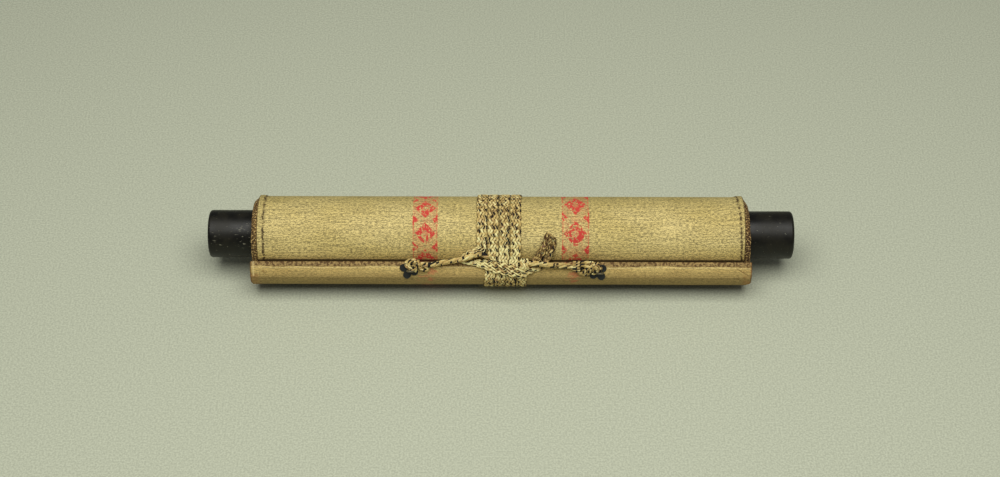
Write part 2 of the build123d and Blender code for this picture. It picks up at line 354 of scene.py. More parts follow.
class Field:
    """A value that varies over a surface."""

    def __init__(self, graph, socket):
        self.graph = graph
        self.socket = socket

    def __add__(self, other):
        return self.graph.math("ADD", self, other)

    def __sub__(self, other):
        return self.graph.math("SUBTRACT", self, other)

    def __rsub__(self, other):
        return self.graph.math("SUBTRACT", other, self)

    def __mul__(self, other):
        return self.graph.math("MULTIPLY", self, other)

    def __truediv__(self, other):
        return self.graph.math("DIVIDE", self, other)

    def __abs__(self):
        return self.graph.math("ABSOLUTE", self)

    def step(self, low, high, out_low=0.0, out_high=1.0):
        """Goes smoothly from out_low to out_high between low and high."""
        inputs = dict(enumerate((self, low, high, out_low, out_high)))
        return self.graph.add("MapRange", inputs, interpolation_type="SMOOTHSTEP")

    def fall(self, low, high, share=1.0):
        """Goes smoothly from that share to nothing between low and high."""
        return self.step(low, high, share, 0.0)

    def within(self, centre, half, soft):
        """Near one where the value is within half of the centre."""
        return abs(self - centre).fall(half - soft, half + soft)


class Graph:
    """The nodes of a material or of the world."""

    def __init__(self, owner):
        owner.use_nodes = True
        self.owner = owner
        self.nodes = owner.node_tree.nodes
        self.links = owner.node_tree.links

    def put(self, socket, value):
        if isinstance(value, Field):
            self.links.new(value.socket, socket)
        else:
            socket.default_value = value

    def add(self, kind, inputs, output=0, **settings):
        """One output of a new node."""
        node = self.nodes.new("ShaderNode" + kind)
        for name, setting in settings.items():
            setattr(node, name, setting)
        for key, value in inputs.items():
            self.put(node.inputs[key], value)
        return Field(self, node.outputs[output])

    def math(self, operation, *values):
        return self.add("Math", dict(enumerate(values)), operation=operation)

    def layer(self, name):
        return self.add("UVMap", {}, uv_map=name)

    def split(self, vector):
        node = self.nodes.new("ShaderNodeSeparateXYZ")
        self.put(node.inputs[0], vector)
        return [Field(self, output) for output in node.outputs]

    def join(self, x, y, z=0.0):
        return self.add("CombineXYZ", {0: x, 1: y, 2: z})

    def noise(self, scale, detail, rough, x=1.0, y=1.0, place=None):
        """A grain from about 0 to 1, which may be stretched along the roller and round it."""
        vector = place or self.place
        if (x, y) != (1.0, 1.0):
            vector = self.add("Mapping", {"Vector": vector, "Scale": (x, y, 1.0)})
        inputs = {"Vector": vector, "Scale": scale, "Detail": detail, "Roughness": rough}
        return self.add("TexNoise", inputs)

    def blend(self, share, first, second, mode="MIX"):
        inputs = {0: share, 6: first, 7: second}
        return self.add("Mix", inputs, output=2, data_type="RGBA", blend_type=mode)

    def paint(self, share, display, mode="MIX"):
        """Lay a display colour over what is there."""
        self.colour = self.blend(share, self.colour, tone(*display), mode)

    def shade(self, amount):
        """Darken or lighten the colour by that amount."""
        self.colour = self.blend(1.0, self.colour, self.join(amount, amount, amount), "MULTIPLY")

    def finish(self, rough, height=None, strength=0.0, distance=0.0):
        """The material, with its colour, roughness and relief."""
        inputs = self.nodes["Principled BSDF"].inputs
        self.put(inputs["Base Color"], self.colour)
        self.put(inputs["Roughness"], rough)
        if height is not None:
            relief = {"Strength": strength, "Distance": distance, "Height": height}
            self.put(inputs["Normal"], self.add("Bump", relief))
        return self.owner


def surface(name, ground, kind="UV"):
    """A new material on a ground colour, and the coordinates of its grain."""
    graph = Graph(bpy.data.materials.new(name))
    graph.colour = tone(*ground)
    graph.place = graph.add("TexCoord", {}, output=kind)
    return graph


# Ribbon: four turns, then its last pass over the cord and the folded tail.
# Each row gives both edges, as X, the height on the facing plane and how far above the loop,
# and then how far the middle bulges.
RIBBON_LIFT = RIBBON_GAP + RIBBON_THICKNESS / 2
STAVE_PASSES = (14.0, 6.7, -0.6, -8.1)  # X of each turn over the stave
STAVE_SHARES = (0.03, 0.17)  # the part of a turn over the stave
ROLL_PASSES = (10.1, 2.3, -5.4, -13.1)  # X of each turn over the roll
ROLL_SHARES = (0.72, 0.94)  # and over the roll
CONTROLS = 48  # control points of a turn
FIRST_CONTROL = 2
LAST_TURN_CUT = 0.09  # the part of a turn left to the last pass
TURN_FRONT = -24.0  # the front of the loop lies beyond this Y
TURN_START = -15.6  # height on the facing plane where the turns begin
RIBBON_WANDER = 0.35
RIBBON_START = (
    (19.0, -6.6, 1.2, 13.4, -6.4, 1.2, 0.0),
    (19.3, -7.2, 4.4, 12.8, -7.2, 3.0, 0.0),
    (19.4, -9.6, 6.2, 12.8, -9.6, 4.8, 0.0),
    (19.3, -12.2, 4.6, 12.4, -12.2, 3.8, 0.0),
    (19.1, -14.6, 1.7, 11.8, -14.6, 1.7, 0.0),
)
RIBBON_END = (
    (-9.3, 1.5, 0.9, -17.0, 2.2, 0.9, 0.0),
    (-9.9, -1.9, 0.9, -18.8, 0.4, 0.9, 0.0),
    (-12.5, -4.5, 0.9, -21.5, 0.5, 1.2, 0.0),
    (-16.6, -6.0, 0.9, -24.3, -0.9, 1.2, 0.0),
    (-20.7, -7.4, 0.9, -26.8, -3.5, 1.0, 0.0),
    (-23.3, -8.2, 0.8, -28.4, -6.5, 0.8, 0.0),
    (-24.0, -8.8, 0.8, -28.6, -8.8, 0.8, 0.0),
    (-22.4, -8.5, 0.9, -26.1, -9.9, 0.8, 0.0),
    (-18.1, -7.1, 1.0, -19.2, -10.8, 0.9, 0.2),
    (-13.0, -6.4, 2.0, -12.1, -13.2, 1.6, 0.4),
    (-8.2, -6.0, 2.6, -5.4, -15.6, 2.7, 0.5),
    (-3.4, -6.2, 2.8, 1.2, -17.4, 2.9, 0.7),
    (1.7, -7.6, 2.9, 7.1, -18.8, 3.0, 0.7),
    (6.5, -9.4, 3.0, 12.4, -19.6, 3.0, 0.8),
    (11.4, -11.0, 3.2, 16.8, -18.7, 2.9, 0.9),
    (16.1, -12.0, 3.2, 19.6, -16.2, 2.3, 0.8),
    (20.4, -11.9, 2.4, 23.2, -15.3, 0.9, 0.4),
    (24.1, -11.6, 0.9, 27.6, -14.4, 0.8, 0.1),
    (26.7, -9.1, 0.8, 31.3, -11.8, 0.8, 0.0),
    (28.6, -5.2, 0.8, 34.0, -7.5, 0.8, 0.0),
    (30.8, -0.7, 0.9, 36.5, -2.3, 0.9, 0.2),
    (32.0, 3.6, 0.9, 38.0, 2.3, 0.9, 0.2),
    (32.4, 8.1, 1.0, 38.4, 5.8, 1.1, 0.2),
    (31.8, 12.1, 1.4, 38.0, 7.6, 1.6, 0.1),
    (30.5, 12.2, 2.2, 36.2, 7.3, 2.3, 0.2),
    (29.6, 9.3, 2.4, 34.4, 5.2, 2.5, 0.4),
    (28.5, 5.2, 2.3, 32.6, 1.9, 2.5, 0.4),
    (25.8, 0.7, 2.2, 30.6, -1.6, 2.4, 0.4),
    (23.4, -3.6, 2.0, 28.4, -5.2, 2.2, 0.3),
    (21.0, -7.3, 1.8, 26.1, -8.5, 2.0, 0.0),
    (20.0, -10.1, 1.7, 24.4, -11.2, 1.7, 0.0),
)

# Plait of the ribbon
STRANDS = 6
PLAIT_PITCH = 31.2  # while a strand crosses and comes back
STRAND_HALF_WIDTH = 0.9
STRAND_HALF_DEPTH = 0.36
WEAVE_HEIGHT = 0.3
CORE_HALF_DEPTH = 0.12
CORE_HALF_WIDTH = 0.86  # of half the ribbon's width
STRAND_SIDES = 6
STATION_STEP = PLAIT_PITCH / STRANDS / 10
ZIGZAG = 0.985  # one would give a strand sharp bends at the edges
BEND_LENGTH = 0.05
TAIL_RUN = 52.0  # length of the darker tail
TINT = 1.07
TAIL_TINT = 0.42
# Tint of the dark core: a sheet inside the ribbon that stands in for the shade seen between the
# strands
CORE_TINT = 0.05
TINT_SPREAD = 0.8
DIVING_TINT = 0.45  # the tint's share where a strand goes under, as painted shade
EDGE_TINT = 0.5  # painted shade: how much darker a strand is at its sides
PAINTED_SHADE = 0.42  # painted shade: how much darker it is on top and underneath
SHADE_ABOVE, SHADE_RISE = 38.0, 15.0
SHADE_BELOW, SHADE_FALL = 23.0, 5.0
DARK_SPREAD = {0: 0.0, 1: 1.0, 2: 0.14}  # how dark each side of a dark strand is
DARK_CHANCE = 0.13  # against the dark lattice
DARK_STRENGTH = 2.5

# Map of the strands' sides, as far apart as the thread pattern needs
STRAND_MAP = 9.0
SIDE_MAP = 0.3

# Hanging cord, from the left knot to the right one
CORD_ROUTE = (
    (-59.6, -33.0, 30.7), (-52.2, -33.0, 29.7), (-46.0, -32.5, 30.2), (-39.8, -31.6, 31.4),
    (-33.6, -31.0, 32.2), (-28.1, -30.9, 33.2), (-22.6, -30.7, 35.3), (-17.5, -29.8, 37.1),
    (-13.3, -29.6, 37.4), (-10.3, -29.8, 36.2), (-7.9, -27.6, 32.0), (-4.1, -27.6, 30.2),
    (0.7, -27.7, 29.8), (6.9, -27.8, 29.6), (11.4, -28.8, 29.6), (14.8, -31.5, 30.6),
    (18.6, -33.2, 31.8), (24.0, -33.6, 32.5), (30.2, -33.8, 31.8), (36.8, -33.0, 30.0),
    (43.0, -32.8, 29.8), (49.2, -33.4, 29.1), (54.6, -34.5, 28.3),
)
CORD_TWIST = 24.0  # length of one full twist of its strands
CORD_STRANDS = 5
CORD_SIDES = 8
CORD_TINT = 0.5
CORD_TINT_SPREAD = 0.55
CORD_SWELL = 1.12  # so that the strands press together
# how strongly the painted shade of the slits between the strands shows
CORD_DARK = 1.6
CORD_GUIDE = Vector((0, -0.4, 1))


def x_between(keys, turned):
    """The X that the keys give after that many turns."""
    later = next((key for key in keys if key[0] > turned), keys[-1])
    sooner = next((key for key in keys[::-1] if key[0] <= turned), keys[0])
    share = (turned - sooner[0]) / (later[0] - sooner[0]) if later != sooner else 0.0
    return sooner[1] + share * (later[1] - sooner[1])


def ribbon_rails():
    """Control points of the ribbon's two edges and its middle."""
    bare = tied_outline(0.0)
    line = tied_outline(RIBBON_LIFT)
    front = [index for index, point in enumerate(line) if point.x < TURN_FRONT]
    first = min(front, key=lambda index: abs(toward(line[index], FACING_UP) - TURN_START))
    loop = resample(line[first:] + line[:first], CONTROLS, closed=True)
    keys = []
    for turn, passes in enumerate(zip(STAVE_PASSES, ROLL_PASSES)):
        for x, shares in zip(passes, (STAVE_SHARES, ROLL_SHARES)):
            keys += [(turn + share, x) for share in shares]
    left, middle, right = [], [], []

    def place(rail):
        for row in rail:
            one, other = above_loop(bare, *row[:3]), above_loop(bare, *row[3:6])
            left.append(one)
            middle.append((one + other) / 2 + FACING_OUT * row[6])
            right.append(other)

    place(RIBBON_START)
    for number in range(FIRST_CONTROL, int(CONTROLS * (len(ROLL_PASSES) - LAST_TURN_CUT))):
        x = x_between(keys, number / CONTROLS)
        x += RIBBON_WANDER * wave(number * 0.45, 2.0, 0)
        spot = at(x, loop[number % CONTROLS])
        left.append(spot + Vector((RIBBON_WIDTH / 2, 0, 0)))
        middle.append(spot)
        right.append(spot - Vector((RIBBON_WIDTH / 2, 0, 0)))
    place(RIBBON_END)
    return left, middle, right


def ribbon_frames():
    """Places along the ribbon: centre, way across, the middle's bulge and normal."""
    rails = [smooth_line(rail, 8) for rail in ribbon_rails()]
    marks = distances(rails[1])
    targets = [number * STATION_STEP for number in range(int(marks[-1] / STATION_STEP))]
    lines = [[], [], []]
    for index, share in located(marks, targets):
        for line, rail in zip(lines, rails):
            line.append(rail[index].lerp(rail[index + 1], share))
    frames = []
    for index, (left, middle, right) in enumerate(zip(*lines)):
        centre, across = (left + right) / 2, left - right
        normal = heading_at(lines[1], index).cross(across).normalized()
        frames.append((centre, across, middle - centre, normal))
    return frames, lines[1]


def ribbon_spot(frame, share, height):
    """A point of the ribbon, by its share of half the width and its height."""
    centre, across, bulge, normal = frame
    return centre + across * share / 2 + bulge * (1 - share**2) + normal * height


def ribbon_tint(gone, left_over, strand, height):
    """How light a strand is: painted shade on top and underneath, and dark in the tail."""
    if left_over < TAIL_RUN:
        return TAIL_TINT + TINT_SPREAD * wave(gone * 0.25, strand * 3.1, 0)
    above = max(0.0, (height - SHADE_ABOVE) / SHADE_RISE)
    below = max(0.0, (SHADE_BELOW - height) / SHADE_FALL)
    tint = TINT + TINT_SPREAD * wave(gone * 0.3, strand * 3.1, 0)
    return tint - PAINTED_SHADE * min(1.0, above + below)


def strand_sides(count, uvs, gone, strand):
    """The cosine and sine of each side of a strand; adds its place on the map."""
    for number in range(count):
        uvs.append((gone, strand * STRAND_MAP + number * SIDE_MAP))
        turn = 2 * pi * number / count
        yield cos(turn), sin(turn)


def ribbon(material):
    """The flat ribbon, plaited from strands that pass over and under each other."""
    frames, middle = ribbon_frames()
    chance = random.Random(11)
    run = (len(frames) - 1) * STATION_STEP
    reach = 1 - 2 * STRAND_HALF_WIDTH / RIBBON_WIDTH
    points, faces, uvs, marks = [], [], [], []
    for strand in range(STRANDS):
        first = len(points)
        darks = {}
        for index, frame in enumerate(frames):
            gone = index * STATION_STEP
            turn = 2 * pi * (gone / PLAIT_PITCH + strand / STRANDS)
            share = reach * asin(ZIGZAG * sin(turn)) / asin(ZIGZAG)
            heading = cos(turn) / sqrt(cos(turn) ** 2 + BEND_LENGTH)
            weave = cos(2 * pi * STRANDS * gone / PLAIT_PITCH)
            over = 0.5 + 0.5 * weave * heading
            crossing = round(2 * STRANDS * gone / PLAIT_PITCH)
            if crossing not in darks:
                lattice = (3 * strand + crossing) % 5 < 2
                darks[crossing] = lattice if heading > 0 else chance.random() < DARK_CHANCE
            dark = min(1.0, DARK_STRENGTH * over) if darks[crossing] else 0.0
            tint = ribbon_tint(gone, run - gone, strand, frame[0].z)
            # Painted shade where the strand goes under the others.
            tint = (tint + CORE_TINT) * (DIVING_TINT + (1 - DIVING_TINT) * over)
            core = ribbon_spot(frame, share, WEAVE_HEIGHT * heading * weave)
            sideways = frame[1].normalized()
            sides = strand_sides(STRAND_SIDES, uvs, gone, strand)
            for number, (flat, high) in enumerate(sides):
                offset = sideways * flat * STRAND_HALF_WIDTH
                points.append(core + (offset + frame[3] * high * STRAND_HALF_DEPTH))
                mark = dark * DARK_SPREAD.get(number, 0.0)
                # Painted shade at the strand's sides.
                marks.append((mark, tint - EDGE_TINT * abs(flat) ** 3))
        faces += ring_faces(len(frames), STRAND_SIDES, first)
    # A dark core sheet, which stands in for the shade seen through the gaps between the strands.
    first = len(points)
    for index, frame in enumerate(frames):
        for share, height in ((-CORE_HALF_WIDTH, 0), (0, -1), (CORE_HALF_WIDTH, 0), (0, 1)):
            points.append(ribbon_spot(frame, share, height * CORE_HALF_DEPTH))
            uvs.append((index * STATION_STEP, share))
            marks.append((0.0, CORE_TINT))
    faces += ring_faces(len(frames), 4, first)
    piece = make_piece("tie_ribbon", points, faces, material, uvs, marks)
    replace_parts(piece, "ribbon_wrap", "ribbon_last_pass", "ribbon_tail")
    tuple(middle[0] * MM)
    [tuple(point * MM) for point in middle[::4]]


def twisted(name, line, radius, strands, twist, material, tint=CORD_TINT):
    """Strands laid round a line."""
    half_angle = sin(pi / strands)
    strand_radius = radius * half_angle / (1 + half_angle) * CORD_SWELL
    reach = radius - strand_radius
    points, faces, uvs, marks = [], [], [], []
    for strand in range(strands):
        first = len(points)
        for index, (centre, gone) in enumerate(zip(line, distances(line))):
            along = heading_at(line, index).normalized()
            side = along.cross(CORD_GUIDE).normalized()
            over = side.cross(along)
            phase = 2 * pi * (gone / twist + strand / strands)
            core = centre + (side * cos(phase) + over * sin(phase)) * reach
            # Painted shade of the slits between the strands, laid as dark marks.
            slit = wave(gone * 0.33, strand * 5.7, radius)
            lightness = tint + CORD_TINT_SPREAD * wave(gone * 0.12, strand * 2.3, 4)
            for flat, high in strand_sides(CORD_SIDES, uvs, gone, strand):
                points.append(core + (side * flat + over * high) * strand_radius)
                marks.append((max(0.0, slit * CORD_DARK), lightness))
        faces += ring_faces(len(line), CORD_SIDES, first)
    return make_piece(name, points, faces, material, uvs, marks)


def hanging_cord(material):
    """The cord between the eyelets, and the line that it follows."""
    line = smooth_line([Vector(point) for point in CORD_ROUTE], 12)
    piece = twisted("hanging_cord", line, CORD_RADIUS, CORD_STRANDS, CORD_TWIST, material)
    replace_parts(piece, "hanging_cord_left", "hanging_cord_right")
    return piece, line


def camera():
    """Looks along the tilt, level with the scroll."""
    forward = Vector((0, cos(VIEW_TILT), -sin(VIEW_TILT)))
    upward = Vector((0, sin(VIEW_TILT), cos(VIEW_TILT)))
    data = bpy.data.cameras.new("camera")
    data.lens = LENS
    place = add_object("camera", data)
    aim = Vector((VIEW_SHIFT[0], 0, AXIS_HEIGHT)) + upward * VIEW_SHIFT[1]
    place.location = (aim - forward * VIEW_DISTANCE) * MM
    place.rotation_mode = "ZYX"
    place.rotation_euler = (pi / 2 - VIEW_TILT, 0, VIEW_ROLL)
    bpy.context.scene.camera = place


# Sheet
HEM_WIDTH = 4.2
HEM_RAISE = 0.22
HEM_CURL = 0.5  # how much more it stands up over the top
HEM_FALL = 0.8  # how softly it comes down beside the crease
HEM_PUCKER = 0.2
PUCKER_REACH = 2.2
CREASE_DEPTH = 0.4
CREASE_WIDTH = 0.5
CREASE_WANDER = 0.35
EDGE_DROP = 0.25
EDGE_RAGGED = 0.22
HEM_COLUMNS = [0.28 * number for number in range(20)] + [5.8, 6.3, 7.0, 7.8, 8.8, 10.2, 12.5, 15]
MIDDLE_COLUMNS = [8.0 * number for number in range(20)]
UNDER_COLUMNS = (SHEET_HALF, 120.0, 40.0, -40.0, -120.0, -SHEET_HALF)
FAR_FROM_HEM = (9.0, 9.0)
LEAD_POINTS = 8
SKIN_STEP = 0.9  # along the sheet
SKIN_END = 235  # the angle where the skin ends, under the next turn
SKIN_TUCK = 0.03
FACING_TURN = 135.0  # where the sheet's run is measured from

# Edges of the inner turns
END_DEPTH = 8.0  # how far in they are drawn at each end
END_TAPER = {-1: (2.9, 3.0), 1: (3.1, 5.0)}  # shortfall of the outer ones, and its depth
END_CURVE = 1.3
END_RAGGED = 0.3
END_SETBACK = 0.08
END_CHAMFER = 0.2
END_STEP = 6.0  # degrees
TAPER_SIDE = 0.8  # the taper fades out where the turns face the stave


def half_turn(index, start, end, step=ARC_STEP, inset=0.0):
    """Points along one half turn of the sheet: even ones pass over the roll, odd ones under."""
    radius = FIRST + index * HALF_STEP - inset
    if index % 2 == 0:
        return arc_points(Vector((SHIFT, 0)), radius, start, end, step)
    floor = FLAT_DEPTH * index / LAST_INDEX - radius
    arc = arc_points(Vector((-SHIFT, 0)), radius, start, end, step)
    return [Vector((point.x, max(point.y, floor))) for point in arc]


def lead():
    """Where the sheet leaves the roll for the stave: angle, start, direction and length."""
    corner = stave_point(-POCKET_SKIN, STAVE_WIDTH / 2 + POCKET_SKIN)
    centre = Vector((-SHIFT, 0))
    reach = corner - centre
    angle = degrees(atan2(reach.y, reach.x)) % 360
    angle += degrees(acos(OUTER / reach.length))
    start = centre + polar(OUTER, angle)
    run = corner - start
    return angle, start, run.normalized(), run.length


def crease_place(side, run):
    """How far in the hem's crease lies: it wanders left and slopes right."""
    if side < 0:
        return HEM_WIDTH * (1.05 + 0.14 * wave(run * 0.21, 3, 8))
    slope = min(1.0, max(0.0, (run + 40.0) / 66.0))
    return HEM_WIDTH * (1.06 - 0.62 * slope)


def hem_relief(x, run):
    """How far the hem stands proud, with its puckered crease."""
    inward = SHEET_HALF - abs(x)
    side = copysign(40.0, x)
    crease = crease_place(side, run) + CREASE_WANDER * wave(run * 0.12, side, 7)
    ripple = wave(run * 0.55, side, inward * 0.25)
    fine = wave(run * 1.6, side + 9, inward * 0.5)
    near = exp(-((inward - crease) / CREASE_WIDTH) ** 2)
    beside = exp(-abs(inward - crease) / PUCKER_REACH)
    raised = HEM_RAISE + HEM_CURL * min(1.0, max(0.0, (-run - 4.0) / 14.0))
    raised *= exp(-max(0.0, inward - crease) / HEM_FALL)
    edge = -EDGE_DROP if inward < 0.2 else 0.0
    sunk = CREASE_DEPTH * near * (0.65 + 0.7 * ripple)
    return raised - sunk + HEM_PUCKER * beside * fine + edge


def sheet_columns():
    """The X of each column of the skin, close together at the hems."""
    right = [SHEET_HALF - inward for inward in HEM_COLUMNS] + MIDDLE_COLUMNS[::-1]
    return [-x for x in right[:-1]] + right[::-1]


def rolled_skin(material):
    """The outermost turn of the sheet, with its hems."""
    angle, start, along, length = lead()
    path = resample([start + along * (length - SEAT_GAP), start], LEAD_POINTS)[:-1]
    path += half_turn(LAST_INDEX, angle, 360)
    path += half_turn(LAST_INDEX - 1, 0, 180)[1:]
    path += half_turn(LAST_INDEX - 2, 180, SKIN_END, inset=SKIN_TUCK)[1:]
    path = resample(path, int(distances(path)[-1] / SKIN_STEP))
    facing = polar(OUTER, FACING_TURN)
    origin = min(range(len(path)), key=lambda index: (path[index] - facing).length)
    columns = sheet_columns()
    points, uvs, marks = [], [], []
    for index, spot in enumerate(path):
        way = heading_at(path, index).normalized()
        outward = Vector((way.y, -way.x))
        run = (index - origin) * SKIN_STEP
        for x in columns:
            inward = SHEET_HALF - abs(x)
            ragged = EDGE_RAGGED * wave(run * 0.2, x, 3)
            shift = copysign(ragged, x) if inward < 1 else 0.0
            points.append(at(x + shift, spot + outward * hem_relief(x, run)))
            uvs.append((x, run))
            marks.append((inward - crease_place(x, run), inward))
        for x in UNDER_COLUMNS:
            points.append(at(x, spot - outward * SHEET_THICKNESS))
            uvs.append((x, run))
            marks.append(FAR_FROM_HEM)
    faces = ring_faces(len(path), len(columns) + len(UNDER_COLUMNS), flip=True)
    return make_piece("rolled_skin", points, faces, material, uvs, marks)


def turn_ends(side, material):
    """The edges of the inner turns, which stand out."""
    path = []
    for index in range(LAST_INDEX - 1):
        start = 0 if index % 2 == 0 else 180
        outer = half_turn(index, start, start + 180, END_STEP)
        inner = half_turn(index, start, start + 180, END_STEP, inset=SHEET_THICKNESS)
        path += list(zip(outer, inner))[1:]
    marks = distances([outer for outer, inner in path])
    inner_x = SHEET_HALF - END_DEPTH
    short, depth = END_TAPER[side]
    points, uvs = [], []
    for gone, (outer, inner) in zip(marks, path):
        ragged = wave(gone * 0.09, side * 7.0, 0) + 0.5 * wave(gone * 0.5, side * 7.0, 5)
        from_outside = (path[-1][0].length - outer.length) / depth
        taper = max(0.0, 1.0 - from_outside) ** END_CURVE
        taper *= min(1.0, max(0.0, (outer.x / outer.length + TAPER_SIDE) * 2.0))
        end_x = INNER_HALF - END_SETBACK + END_RAGGED * ragged - short * taper
        rounding = (outer - inner) * 0.25
        corners = (
            (inner_x, outer),
            (end_x - END_CHAMFER, outer),
            (end_x, outer - rounding),
            (end_x, inner + rounding),
            (end_x - END_CHAMFER, inner),
            (inner_x, inner),
        )
        for x, spot in corners:
            points.append(at(side * x, spot))
            uvs.append((x, gone))
    faces = ring_faces(len(path), len(corners), flip=side > 0)
    name = "turn_ends_left" if side < 0 else "turn_ends_right"
    return make_piece(name, points, faces, material, uvs)


# Stave's paper
RING = 128  # points round the stave
POCKET_STEP = 3.0
END_COLUMNS = [0.55 * number for number in range(24)]
CRUMPLE_REACH = 7.0
CRUMPLE_HEIGHT = 0.42
SLOW_HEIGHT = 0.14
FOLD_HEIGHT = 0.1
FOLD_WIDTH = 0.7
TUCK_REACH = 0.8
TUCK_DEPTH = 0.5
RIGHT_END_SLANT = 3.2  # at the stave's lower side
LEFT_END_SLANT = -0.5
POCKET_RAGGED = 0.35
FOLD_UP = -19.6  # height of the soft crease along the stave
END_RINGS = (0.82, 0.5, 0.2)  # of the sunken ends
LAP_STEPS = 5
LAP_THICKNESS = 0.7
LAP_OVER = 0.4
LAP_LIFT = 0.05
LAP_MAP = -30.0


def pocket_columns():
    """The X of each ring of the pocket, close together at its ends."""
    fine = [POCKET_HALF - inward for inward in END_COLUMNS]
    count = int(2 * fine[-1] / POCKET_STEP)
    middle = [fine[-1] - 2 * fine[-1] * (number + 1) / count for number in range(count - 1)]
    return [-x for x in fine] + middle[::-1] + fine[::-1]


def pocket_end(points, uvs, rim, centre, side):
    """Faces that close an end, sunk unevenly."""
    faces = []
    ring = len(rim)
    base = rim
    for inset in END_RINGS:
        row = []
        for source in rim:
            flat = Vector((0, points[source].y - centre.y, points[source].z - centre.z)) * inset
            dent = 0.3 + 0.5 * abs(wave(flat.y * 0.3, flat.z * 0.3, side * 5.0))
            points.append(Vector((points[source].x - side * dent, centre.y, centre.z)) + flat)
            uvs.append(uvs[source])
            row.append(len(points) - 1)
        for column in range(ring):
            a, b = base[column], base[(column + 1) % ring]
            c, d = row[(column + 1) % ring], row[column]
            faces.append((a, b, c, d) if side > 0 else (d, c, b, a))
        base = row
    faces.append(tuple(base) if side > 0 else tuple(base[::-1]))
    return faces


def pocket_lap(points, uvs):
    """Faces of the lap that is pasted to the sheet."""
    angle, start, along, length = lead()
    outward = (start - Vector((-SHIFT, 0))).normalized()
    foot = start + along * (length - LAP_LENGTH) + outward * LAP_LIFT
    head = start + along * (length + LAP_OVER) + outward * LAP_LIFT
    first = len(points)
    strip = [foot + (head - foot) * number / LAP_STEPS for number in range(LAP_STEPS + 1)]
    strip += [spot + outward * LAP_THICKNESS for spot in strip[::-1]]
    for x in (-SHEET_HALF, SHEET_HALF):
        for spot in strip:
            points.append(at(x, spot))
            uvs.append((x, LAP_MAP))
    return ring_faces(2, len(strip), first)


def pocket(material):
    """The paper round the stave, crumpled at its ends, with its lap."""
    outline = resample(stave_outline(POCKET_SKIN), RING, closed=True)
    centre = sum(outline, Vector((0, 0))) / RING
    columns = pocket_columns()
    points, uvs = [], []
    for x in columns:
        inward = POCKET_HALF - abs(x)
        crumple = exp(-inward / CRUMPLE_REACH)
        tuck = max(0.0, 1 - inward / TUCK_REACH) ** 2 * TUCK_DEPTH
        for spot in outline:
            outward = (spot - centre).normalized()
            rise = toward(spot, FACING_UP)
            spin = Vector((spot.x * 0.25, spot.y * 0.25, 0))
            slow = noise.noise(Vector((x * 0.02, 0, 4)) + spin * 0.5)
            crease = noise.noise(Vector((x * 0.35, 1, 9)) + spin * 1.6)
            fold = exp(-((rise - FOLD_UP - 0.5 * slow) / FOLD_WIDTH) ** 2)
            lift = SLOW_HEIGHT * slow + CRUMPLE_HEIGHT * crumple * crease + FOLD_HEIGHT * fold
            low = max(0.0, -outward.dot(polar(1, STAVE_ANGLE - 90)))
            slant = (RIGHT_END_SLANT if x > 0 else LEFT_END_SLANT) * low * crumple
            ragged = POCKET_RAGGED * crumple * noise.noise(Vector((7, x * 0.1, 2)) + spin * 2.5)
            end_shift = slant + copysign(abs(ragged), x)
            points.append(at(x - end_shift, spot + outward * (lift - tuck)))
            uvs.append((x, rise))
    faces = ring_faces(len(columns), RING, flip=True)[:-2]
    for side, first in ((-1, 0), (1, len(points) - RING)):
        rim = list(range(first, first + RING))
        faces += pocket_end(points, uvs, rim, at(0, centre), side)
    faces += pocket_lap(points, uvs)
    piece = make_piece("stave_paper", points, faces, material, uvs)
    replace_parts(piece, "stave_pocket")


# Knots: the radius of each bight of cord, then its points, as X, the height on the facing plane
# and how far above the loop
LEFT_KNOT = (
    (1.7, (-63.5, -10.5, 2.0), (-60.4, -9.6, 2.4), (-56.3, -9.9, 2.6), (-51.5, -9.9, 2.6)),
    (1.3, (-56.2, -8.0, 3.0), (-61.0, -6.0, 3.2), (-65.2, -8.1, 2.8), (-64.9, -11.3, 2.6),
        (-61.1, -13.4, 3.0), (-57.6, -11.5, 3.6)),
    (1.2, (-55.5, -9.6, 4.2), (-59.2, -6.8, 4.8), (-63.0, -8.4, 4.6), (-63.0, -11.9, 4.2),
        (-59.7, -13.8, 3.6)),
    (1.1, (-60.0, -6.3, 2.6), (-57.5, -7.9, 5.2), (-57.2, -11.5, 4.8), (-59.1, -14.7, 2.2)),
    (1.1, (-56.9, -10.5, 3.6), (-53.6, -14.1, 2.2), (-50.5, -14.3, 1.6), (-50.1, -12.2, 1.8),
        (-53.5, -10.3, 3.2)),
)
RIGHT_KNOT = (
    (1.9, (48.8, -10.3, 1.9), (53.6, -11.8, 1.9), (58.4, -12.8, 2.2), (63.2, -12.4, 2.4),
        (67.4, -11.5, 2.2)),
    (1.1, (47.4, -11.8, 2.2), (51.6, -13.6, 2.4), (55.1, -16.3, 2.0), (59.2, -17.3, 1.8),
        (62.6, -16.0, 2.0)),
    (1.2, (49.4, -8.4, 2.8), (54.2, -7.8, 3.4), (59.7, -7.7, 4.0), (64.5, -8.1, 4.2),
        (68.0, -10.1, 3.8), (68.4, -13.1, 3.2)),
    (1.2, (49.4, -10.0, 3.2), (53.5, -9.3, 4.2), (58.3, -9.7, 5.0), (62.4, -11.3, 5.2),
        (65.2, -14.5, 4.0)),
    (1.3, (55.7, -16.5, 2.4), (57.7, -13.3, 4.4), (60.7, -10.9, 5.4), (64.5, -8.7, 4.8),
        (67.6, -8.5, 3.0)),
    (1.3, (59.8, -16.0, 2.4), (61.1, -12.8, 4.8), (63.7, -9.9, 5.8), (66.2, -11.2, 5.4),
        (65.6, -14.9, 3.4)),
    (1.2, (65.5, -8.8, 3.6), (68.3, -10.4, 4.0), (68.7, -13.4, 3.2), (66.0, -15.4, 2.6),
        (62.3, -15.9, 2.2)),
)
KNOT_STRANDS = 3
KNOT_TWIST = 9.0


